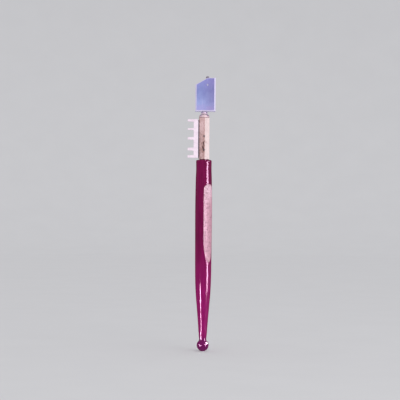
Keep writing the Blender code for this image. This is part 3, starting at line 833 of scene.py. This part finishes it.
# Tarnish round the marks and the pins, and a painted shade line down the front corner: angle, height,
# width, length, strength
TARNISH_AND_SHADE_MM = (
    (2, 138.2, 0.45, 0.9, 0.75),
    (3, 134.8, 0.5, 0.9, 0.75),
    (-5, 133.6, 0.5, 0.8, 0.7),
    (-12, 136.0, 0.5, 2.0, 0.4),
    (-26, 134.2, 0.35, 0.5, 0.65),
    (22, 134.5, 0.35, 0.4, 0.5),
    (-14, 131.0, 0.9, 2.6, 0.55),
    (-4, 129.6, 0.7, 1.0, 0.6),
    (-22, 128.3, 0.5, 0.5, 0.55),
    (14, 128.0, 0.4, 0.4, 0.45),
    (-10, 137.0, 0.7, 9.0, 0.22),
    (-6, 126.5, 0.6, 1.6, 0.35),
    # Painted shade: a narrow dark line down the front corner.
    (1, 145, 0.35, 8.0, 0.30),
    (-7, 131, 0.9, 4.0, 0.30),
    (-3, 131.5, 0.5, 5.0, 0.22),
    (-20, 140, 0.5, 1.5, 0.25),
    (-33, 131, 0.5, 2.5, 0.40),
)


def hexagon_points(across_flats):
    """Hexagon with rounded corners and subdivided facets, one corner to the front."""
    corner = radians(60)
    reach = (across_flats / 2 - CORNER_ROUNDING) / cos(corner / 2)
    points = []
    for side in range(6):
        middle = side * corner - pi / 2 + FERRULE_TURN
        after = middle + corner
        centre = reach * Vector((cos(middle), sin(middle)))
        next_centre = reach * Vector((cos(after), sin(after)))
        for i in range(CORNER_STEPS + 1):
            a = middle + corner * (i / CORNER_STEPS - 0.5)
            points.append(centre + CORNER_ROUNDING * Vector((cos(a), sin(a))))
        outward = middle + corner / 2
        lift = CORNER_ROUNDING * Vector((cos(outward), sin(outward)))
        for i in range(1, FACET_STEPS):
            points.append(centre.lerp(next_centre, i / FACET_STEPS) + lift)
    return points


def lip_growth(height, low, high):
    """Extra width across flats: rolled lip at the foot, broken edge at the top."""
    up, down = height - low, high - height
    if up < LIP_HEIGHT:
        return 2 * LIP * sin(pi * up / LIP_HEIGHT) ** 0.5
    if down < LIP:
        return -2 * (LIP - sqrt(max(LIP**2 - (LIP - down) ** 2, 0)))
    return 0.0


MEAN_RADIUS = 1.1 * FERRULE_FLATS / 2  # of a circle about as long round as the hexagon


def marks_at(place, marks):
    """Sum of the strengths of the marks (angle, height, width, length, strength) at a place."""
    angle = atan2(place.y, place.x)
    total = 0.0
    for mark_angle, mark_height, width, length, strength in marks:
        off = (angle + pi / 2 - radians(mark_angle) + pi) % (2 * pi) - pi
        round_about = off * MEAN_RADIUS / MM
        up = place.z / MM - mark_height
        total += strength * exp(-((round_about / width) ** 2) - (up / length) ** 2)
    return total


def comb_tenon_slots():
    """Boxes round the two tabs by which the comb passes through the ferrule's wall."""
    comb_low, comb_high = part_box("breaker_comb")
    half = TENON_WIDTH / 2 + TENON_GAP
    slots = []
    for height in TENON_HEIGHTS:
        z = comb_low.z + height
        low = (comb_high.x - TENON_INNER, -half, z - TENON_GAP)
        high = (comb_high.x + TENON_OUTER, half, z + TENON_LENGTH + TENON_GAP)
        slots.append(block(low, high))
    return slots


def shrunk_to_bore(ring):
    """The ring's points drawn in to the ferrule's bore."""
    return [(x * FERRULE_BORE / hypot(x, y), y * FERRULE_BORE / hypot(x, y), z) for x, y, z in ring]


def make_ferrule():
    """Six-sided tube with a rolled foot, punch marks, pin holes and slots for the comb's tabs."""
    low, high = (corner.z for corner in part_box("ferrule"))
    heights = (
        steps(low, low + LIP_HEIGHT, LIP_HEIGHT / LIP_STEPS)
        + steps(low + LIP_HEIGHT, PUNCHED_LOW, PLAIN_LOW_STEP)
        + steps(PUNCHED_LOW, PUNCHED_HIGH, PUNCHED_STEP)
        + steps(PUNCHED_HIGH, high - LIP, PLAIN_HIGH_STEP)
        + steps(high - LIP, high, LIP / TOP_STEPS)
        + [high]
    )
    dents = [(angle, height, size, size, depth) for angle, height, size, depth in PUNCH_MARKS_MM]
    rings = []
    for height in heights:
        ring = []
        for point in hexagon_points(FERRULE_FLATS + lip_growth(height, low, high)):
            sunk = marks_at(Vector((point.x, point.y, height)), dents) * MM
            x, y = point * (1 - sunk / point.length)
            ring.append((x, y, height))
        rings.append(ring)
    rings += [shrunk_to_bore(rings[-1]), shrunk_to_bore(rings[0])]
    bm, _ = skin(rings, closed=True)
    holes = [pin_hole(node) for node in ("swivel_stop_pin", "ferrule_brad_front", "ferrule_brad_back")]
    bm = cut(bm, holes + comb_tenon_slots())
    ferrule = add_piece("ferrule_tube", bm, drawn_brass(), HANDLE_BODY, "brass", "ferrule", sharp=50)
    # Tarnish round the marks and pins, with painted shade down the front corner.
    paint(ferrule, "tarnish", lambda place: marks_at(place, TARNISH_AND_SHADE_MM))


# -------- comb and solder

COMB_TIP_ROUNDING, COMB_EDGE_ROUNDING = 0.15 * MM, 0.10 * MM
COMB_SHARP = 60  # degrees; gentler edges of the comb stay as they are
TABS_START = 0.2 * MM  # the comb's tabs begin this far outside the ferrule's CAD flat
BEAD_HALF_WIDTH = 0.9 * MM
BEAD_OVER_COMB, BEAD_OVER_FERRULE = 0.1 * MM, 0.3 * MM  # beyond the CAD seam on each side
BEAD_STEP, BEAD_SIDE_STEPS = 0.22 * MM, 8
BEAD_WAIST = 0.85  # half-way between comb and ferrule, as a share of the width at its edges
BEAD_BLUNT = 0.55  # width at the two ends, growing by 1 over a millimetre


def make_comb():
    """Stamped comb with rounded tooth tips, filleted roots and softened sheared edges."""
    bm = cad_copy("breaker_comb")
    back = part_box("ferrule")[0].x - TABS_START

    def corner(a, b):
        return runs_across(a, b) and max(a.x, b.x) < back

    def rim(a, b):
        return not runs_across(a, b) and min(a.x, b.x) < back

    round_edges(bm, COMB_TIP_ROUNDING, corner, 4, COMB_SHARP)
    round_edges(bm, COMB_EDGE_ROUNDING, rim, 3, COMB_SHARP)
    steel = plated_steel()
    add_piece("stamped_comb", bm, steel, HANDLE_BODY, "plated_steel", "breaker_comb", flat_faces=True)


def bead_width(z, low, high):
    """Half-width of the solder bead at a height: two slow waves, blunt towards the ends."""
    along = z / MM
    wave = 1 - 0.05 * (1 + sin(along * 2.1)) - 0.04 * (1 + sin(along * 5.3 + 1.2))
    end = min(1.0, (z - low) / MM + BEAD_BLUNT, (high - z) / MM + BEAD_BLUNT)
    return BEAD_HALF_WIDTH * wave * end


def make_solder_seam():
    """Lumpy bead between the ferrule's flat and the comb's back, hollowed along its sides."""
    low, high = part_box("solder_seam")
    left, right = low.x - BEAD_OVER_COMB, high.x + BEAD_OVER_FERRULE
    middle, half_depth = (left + right) / 2, (right - left) / 2
    rings = []
    for z in steps(low.z, high.z, BEAD_STEP) + [high.z]:
        half = bead_width(z, low.z, high.z)
        ring = []
        for side in (1, -1):
            for i in range(BEAD_SIDE_STEPS + 1):
                t = 2 * i / BEAD_SIDE_STEPS - 1
                waist = BEAD_WAIST + (1 - BEAD_WAIST) * t * t
                ring.append((middle - side * t * half_depth, side * half * waist, z))
        rings.append(ring)
    bm, loops = skin(rings)
    for loop in loops[0], loops[-1]:
        bm.faces.new(loop)
    bm = cut(bm, comb_tenon_slots())
    add_piece("solder_bead", bm, dull_solder(), HANDLE_BODY, "solder", "solder_seam", sharp=60)


# -------- neck

NOSE_GAP = 0.15 * MM
NOSE_BAND = 0.7 * MM
NOSE_TIP_RADIUS = 2.8 * MM
BUSH_BORE = 1.55 * MM
BUSH_RADIUS = 2.7 * MM
NOSE_ROUNDING = 0.12 * MM
WASHER_BULGE, WASHER_STEPS = 0.42 * MM, 16


def make_nose():
    """Bush inside the ferrule with the chamfered nose that closes its top."""
    low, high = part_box("stem_bush")
    nose_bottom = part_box("ferrule")[1].z + NOSE_GAP
    corners = [
        (BUSH_BORE, low.z),
        (BUSH_RADIUS, low.z),
        (BUSH_RADIUS, nose_bottom),
        (high.x, nose_bottom),
        (high.x, nose_bottom + NOSE_BAND),
        (NOSE_TIP_RADIUS, high.z),
        (BUSH_BORE, high.z),
    ]
    brass = turned_metal("nose_brass", (0.84, 0.64, 0.69), (0.50, 0.33, 0.36))
    bm = cut(turned_ring(rounded(corners, NOSE_ROUNDING)), [pin_hole("swivel_stop_pin")])
    add_piece("nose_bush", bm, brass, HANDLE_BODY, "nose_brass", "stem_bush", sharp=40)


def make_washer():
    """Thrust washer with a fully rounded rim."""
    low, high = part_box("thrust_washer")
    half = (high.z - low.z) / 2
    flat = high.x - WASHER_BULGE
    turns = [pi * (i / WASHER_STEPS - 0.5) for i in range(WASHER_STEPS + 1)]
    rim = [(flat + WASHER_BULGE * cos(a), low.z + half + half * sin(a)) for a in turns]
    steel = turned_metal("washer_steel", (0.86, 0.70, 0.83), (0.54, 0.42, 0.50))
    bm = turned_ring([(BUSH_BORE, low.z), *rim, (BUSH_BORE, high.z)])
    add_piece("neck_washer", bm, steel, HEAD_BODY, "washer_steel", "thrust_washer", sharp=40)


# -------- head and setting

OUTLINE_REACH = 1.2 * MM  # edges this near the block's sides and foot are its outline's
SLOPE_REACH = 6 * MM  # and so are all this near its top, where the slope is
HEAD_ROUNDING = 0.06 * MM
CHAMFER_LEANS = (0.15, 0.985)  # how much of a chamfer's normal points to the front or back
HOLDER_FOOT_CHAMFER, HOLDER_FOOT_RADIUS = 0.2 * MM, 0.5 * MM
HOLDER_TAPER = 0.5 * MM
HOLDER_TIP_RADIUS = 0.72 * MM
HOLDER_ROUNDING = 0.08 * MM
CUP_RADIUS, CUP_DEPTH = 0.62 * MM, 0.8 * MM
CROSS_DRILL_REACH = 3 * MM
BRAZE_INNER = 0.46 * MM
BRAZE_HOLLOW, BRAZE_STEPS = 0.35, 8  # depth of the hollow as a share of the ring's height
STONE_SIDES = 8
STONE_WAIST, STONE_GIRDLE = 0.52, 0.02  # height and thickness of the girdle, per height
STONE_CULET, STONE_TIP = 0.10, 0.12  # radii of the two ends, per radius of the girdle


def make_head():
    """Ground block with broken corners and a fine radius along every chamfer."""
    bm = cad_copy("head_block")
    low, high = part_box("head_block")

    def on_outline(point):
        to_side = min(point.x - low.x, high.x - point.x, point.z - low.z, high.z - point.z)
        return to_side < OUTLINE_REACH or point.z > high.z - SLOPE_REACH

    def outside(a, b):
        """Whether an edge belongs to the block's outline and not to a bore in it."""
        return on_outline(a) and on_outline(b)

    round_edges(bm, HEAD_ROUNDING, outside, 2, 20)
    steel = ground_steel()
    head = add_piece(
        "ground_head", bm, steel, HEAD_BODY, "satin_steel", "head_block", sharp=34, flat_faces=True
    )
    layer = head.data.attributes.new("chamfer", "FLOAT", "FACE")
    least, most = CHAMFER_LEANS
    leaning = [float(least < abs(face.normal.y) < most) for face in head.data.polygons]
    layer.data.foreach_set("value", leaning)


def foot_of(low, high):
    """Where a small piece of the setting stands: the middle of its box's underside."""
    return Vector(((low.x + high.x) / 2, 0, low.z))


def make_holder():
    """Shank of the setting: chamfered foot, coned tip and the cup for the diamond."""
    low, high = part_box("diamond_holder")
    radius, length = (high.x - low.x) / 2, high.z - low.z
    corners = [
        (HOLDER_FOOT_RADIUS, 0),
        (radius - HOLDER_FOOT_CHAMFER, 0),
        (radius, HOLDER_FOOT_CHAMFER),
        (radius, length - HOLDER_TAPER),
        (HOLDER_TIP_RADIUS, length),
        (CUP_RADIUS, length),
        (CUP_RADIUS, length - CUP_DEPTH),
    ]
    profile = rounded(corners, HOLDER_ROUNDING, closed=False)
    bm = moved(turned_bar(profile, SMALL_SEGMENTS), foot_of(low, high))
    pin_low, pin_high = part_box("holder_pin")
    middle = (pin_low + pin_high) / 2
    reach = FRONT * CROSS_DRILL_REACH
    hole = drill_bit((pin_high.z - pin_low.z) / 2 + RUNNING_GAP, middle + reach, middle - reach)
    steel = turned_metal("holder_steel", (0.30, 0.25, 0.32), (0.10, 0.08, 0.12))
    add_piece("setting_shank", cut(bm, [hole]), steel, HEAD_BODY, "pin_steel", "diamond_holder", sharp=40)


def make_braze():
    """Ring of braze whose top sinks to a hollow between the stone and the cup."""
    low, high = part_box("braze_ring")
    outer, height = (high.x - low.x) / 2, high.z - low.z
    hollow = []
    for i in range(BRAZE_STEPS + 1):
        t = i / BRAZE_STEPS
        hollow.append((outer + (BRAZE_INNER - outer) * t, height * (1 - BRAZE_HOLLOW * sin(pi * t))))
    bm = turned_ring([(BRAZE_INNER, 0), (outer, 0), *hollow], SMALL_SEGMENTS)
    bm = moved(bm, foot_of(low, high))
    add_piece("braze_meniscus", bm, copper_braze(), HEAD_BODY, "braze", "braze_ring", sharp=40)


def make_stone():
    """Eight-sided diamond point with a narrow girdle and a small worn facet on its tip."""
    low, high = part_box("diamond_tip")
    girdle, height = (high.x - low.x) / 2, high.z - low.z
    waist = STONE_WAIST * height
    profile = [
        (STONE_CULET * girdle, 0),
        (girdle, waist - STONE_GIRDLE * height),
        (girdle, waist),
        (STONE_TIP * girdle, height),
    ]
    bm = moved(turned_bar(profile, STONE_SIDES), foot_of(low, high))
    add_piece("diamond_point", bm, clear_diamond(), HEAD_BODY, "diamond", "diamond_tip", sharp=5)


def dress_stem():
    """The stem stays as the CAD made it, stop slot included, in turned steel."""
    mesh = frame["nodes"]["swivel_stem"].data
    mesh.materials.clear()
    mesh.materials.append(turned_metal("stem_steel", (0.55, 0.52, 0.56), (0.26, 0.24, 0.28)))


# -------- studio

FLOOR_RINGS = (0.02, 0.2, 0.8, 1.6)
BOWL_SWEEP, BOWL_HEIGHT, BOWL_STEPS = 0.8, 3.0, 24
FLOOR_DROP = 0.02 * MM  # of the floor below the ball's foot


def make_backdrop():
    """Pale paper bowl: a flat floor that sweeps up all round, far from the tool."""
    floor, edge = cad_low.z - FLOOR_DROP, FLOOR_RINGS[-1]
    line = [(radius, floor) for radius in FLOOR_RINGS]
    for i in range(1, BOWL_STEPS + 1):
        a = pi / 2 * i / BOWL_STEPS
        line.append((edge + BOWL_SWEEP * sin(a), floor + BOWL_SWEEP * (1 - cos(a))))
    line.append((edge + BOWL_SWEEP, BOWL_HEIGHT))
    bm, loops = skin([circle(radius, height) for radius, height in line])
    close_with_fan(bm, loops[0], (0, 0, floor))
    s = Shader("paper")
    colour = s.mix(s.noise(0.02, detail=2), (0.650, 0.650, 0.665), (0.620, 0.620, 0.635))
    paper = s.set(Base_Color=colour, Roughness=0.9, Specular_IOR_Level=0.1)
    bowl = shaded_object("paper_bowl", bm, paper, sharp=180)
    for ray in ("diffuse", "glossy", "transmission", "shadow"):
        setattr(bowl, "visible_" + ray, False)


# Brightness of the surroundings towards -X, +X, -Y, +Y, -Z and +Z
SEEN_IN_GLOSS = (0.70, 1.02, 1.02, 0.42, 0.80, 0.95)
SHINING_ON_MATT = (0.76, 0.78, 0.92, 0.60, 0.52, 1.0)


def surroundings(tree, direction, levels):
    """Brightness that blends six levels by the squares of the direction's components."""
    left, right, front, back, down, up = levels
    lows, highs = Vector((left, front, down)), Vector((right, back, up))

    def vector_node(operation, a, b=None):
        node = tree.nodes.new("ShaderNodeVectorMath")
        node.operation = operation
        for socket, value in zip(node.inputs, (a, b)):
            if isinstance(value, bpy.types.NodeSocket):
                tree.links.new(value, socket)
            elif value is not None:
                socket.default_value = value
        return node

    squares = vector_node("MULTIPLY", direction, direction).outputs[0]
    signs = vector_node("SIGN", direction).outputs[0]
    leaning = vector_node("MULTIPLY", signs, (highs - lows) / 2).outputs[0]
    facing = vector_node("ADD", leaning, (highs + lows) / 2).outputs[0]
    return vector_node("DOT_PRODUCT", squares, facing).outputs["Value"]


def make_world():
    """Paper-pale surroundings, dimmer on the left and behind."""
    world = bpy.data.worlds.new("studio")
    world.use_nodes = True
    world.cycles.sampling_method = "NONE"
    bpy.context.scene.world = world
    tree = world.node_tree
    direction = tree.nodes.new("ShaderNodeTexCoord").outputs["Generated"]
    path = tree.nodes.new("ShaderNodeLightPath")
    mix = tree.nodes.new("ShaderNodeMix")
    tree.links.new(path.outputs["Is Glossy Ray"], mix.inputs[0])
    tree.links.new(surroundings(tree, direction, SHINING_ON_MATT), mix.inputs[2])
    tree.links.new(surroundings(tree, direction, SEEN_IN_GLOSS), mix.inputs[3])
    background = tree.nodes["Background"]
    background.inputs["Color"].default_value = (0.985, 0.985, 1.0, 1)
    tree.links.new(mix.outputs[0], background.inputs["Strength"])


def area_light(name, place, target, size, power, colour=(1, 1, 1), receiver=None, spread=180):
    """Soft rectangular light; one with a receiver only gives that piece a highlight."""
    light = bpy.data.lights.new(name, "AREA")
    light.shape = "RECTANGLE"
    light.size, light.size_y = size
    light.energy = power
    light.spread = radians(spread)
    light.color = colour
    holder = bpy.data.objects.new(name, light)
    holder.location = place
    holder.rotation_euler = (Vector(target) - Vector(place)).to_track_quat("-Z", "Y").to_euler()
    holder.visible_camera = False
    if receiver:
        holder.visible_diffuse = False
        group = bpy.data.collections.new(name + "_receivers")
        group.objects.link(receiver)
        holder.light_linking.receiver_collection = group
    bpy.context.scene.collection.objects.link(holder)


# Lights for single highlights on the lacquer: name, azimuth from the front towards +X in degrees,
# distance, height, height aimed at, width and height of the light, power, spread in degrees
HIGHLIGHTS = (
    ("right_streak_high", 55, 0.5, 0.13, 0.11, (0.20, 0.16), 7.4, 180),
    ("right_streak_low", 62, 0.5, 0.02, 0.04, (0.20, 0.13), 6.7, 180),
    ("left_streak", -44, 0.2, -0.014, 0.022, (0.030, 0.058), 1.15, 180),
    ("ball_glint_left", -60, 0.025, 0.0035, 0.0037, (0.010, 0.007), 0.026, 180),
    ("ball_glint_right", 91, 0.025, 0.0138, 0.0037, (0.006, 0.005), 0.019, 26),
)
HIGHLIGHT_COLOUR = (0.95, 0.97, 1.0)
KEY_PLACE, KEY_SIZE, KEY_POWER = (0.55, -0.75, 0.75), (0.6, 0.6), 1.6


def make_lights(handle):
    """A soft key light on the whole tool, and the lacquer's own highlights."""
    area_light("key", KEY_PLACE, UP * cad_high.z / 2, KEY_SIZE, KEY_POWER)
    for name, azimuth, distance, height, aim, size, power, spread in HIGHLIGHTS:
        a = radians(azimuth)
        place = Vector((sin(a), -cos(a), 0)) * distance + UP * height
        area_light(name, place, UP * aim, size, power, HIGHLIGHT_COLOUR, handle, spread)


LENS = 135  # millimetres
FIELD_WIDTH = 0.258  # seen across the picture, at the tool
VIEW_CENTRE = Vector((-2.35 * MM, 0, 97.3 * MM))
VIEW_ROLL = radians(-0.4)


def make_camera():
    """Long lens that looks straight at the front of the tool."""
    data = bpy.data.cameras.new("camera")
    data.lens = LENS
    camera = bpy.data.objects.new("camera", data)
    distance = FIELD_WIDTH * data.lens / data.sensor_width
    camera.location = VIEW_CENTRE + FRONT * distance
    camera.rotation_euler = (pi / 2, VIEW_ROLL, 0)
    bpy.context.scene.collection.objects.link(camera)
    bpy.context.scene.camera = camera
    bpy.context.scene.view_settings.view_transform = "Standard"


def make_tool():
    handle = make_handle()
    make_ferrule()
    make_comb()
    make_solder_seam()
    dark_steel = dark_pin_steel()
    bright_steel = turned_metal("pin_end_steel", (0.70, 0.70, 0.90), (0.30, 0.30, 0.46))
    make_pin("ferrule_brad_front", "front_brad", dark_steel, HANDLE_BODY)
    make_pin("ferrule_brad_back", "back_brad", dark_steel, HANDLE_BODY)
    make_pin("swivel_stop_pin", "stop_pin", dark_steel, HANDLE_BODY)
    make_pin("holder_pin", "cross_pin", bright_steel, HEAD_BODY, both_heads=True)
    make_nose()
    make_washer()
    make_head()
    make_holder()
    make_braze()
    make_stone()
    dress_stem()
    return handle


handle = make_tool()
make_backdrop()
make_world()
make_lights(handle)
make_camera()
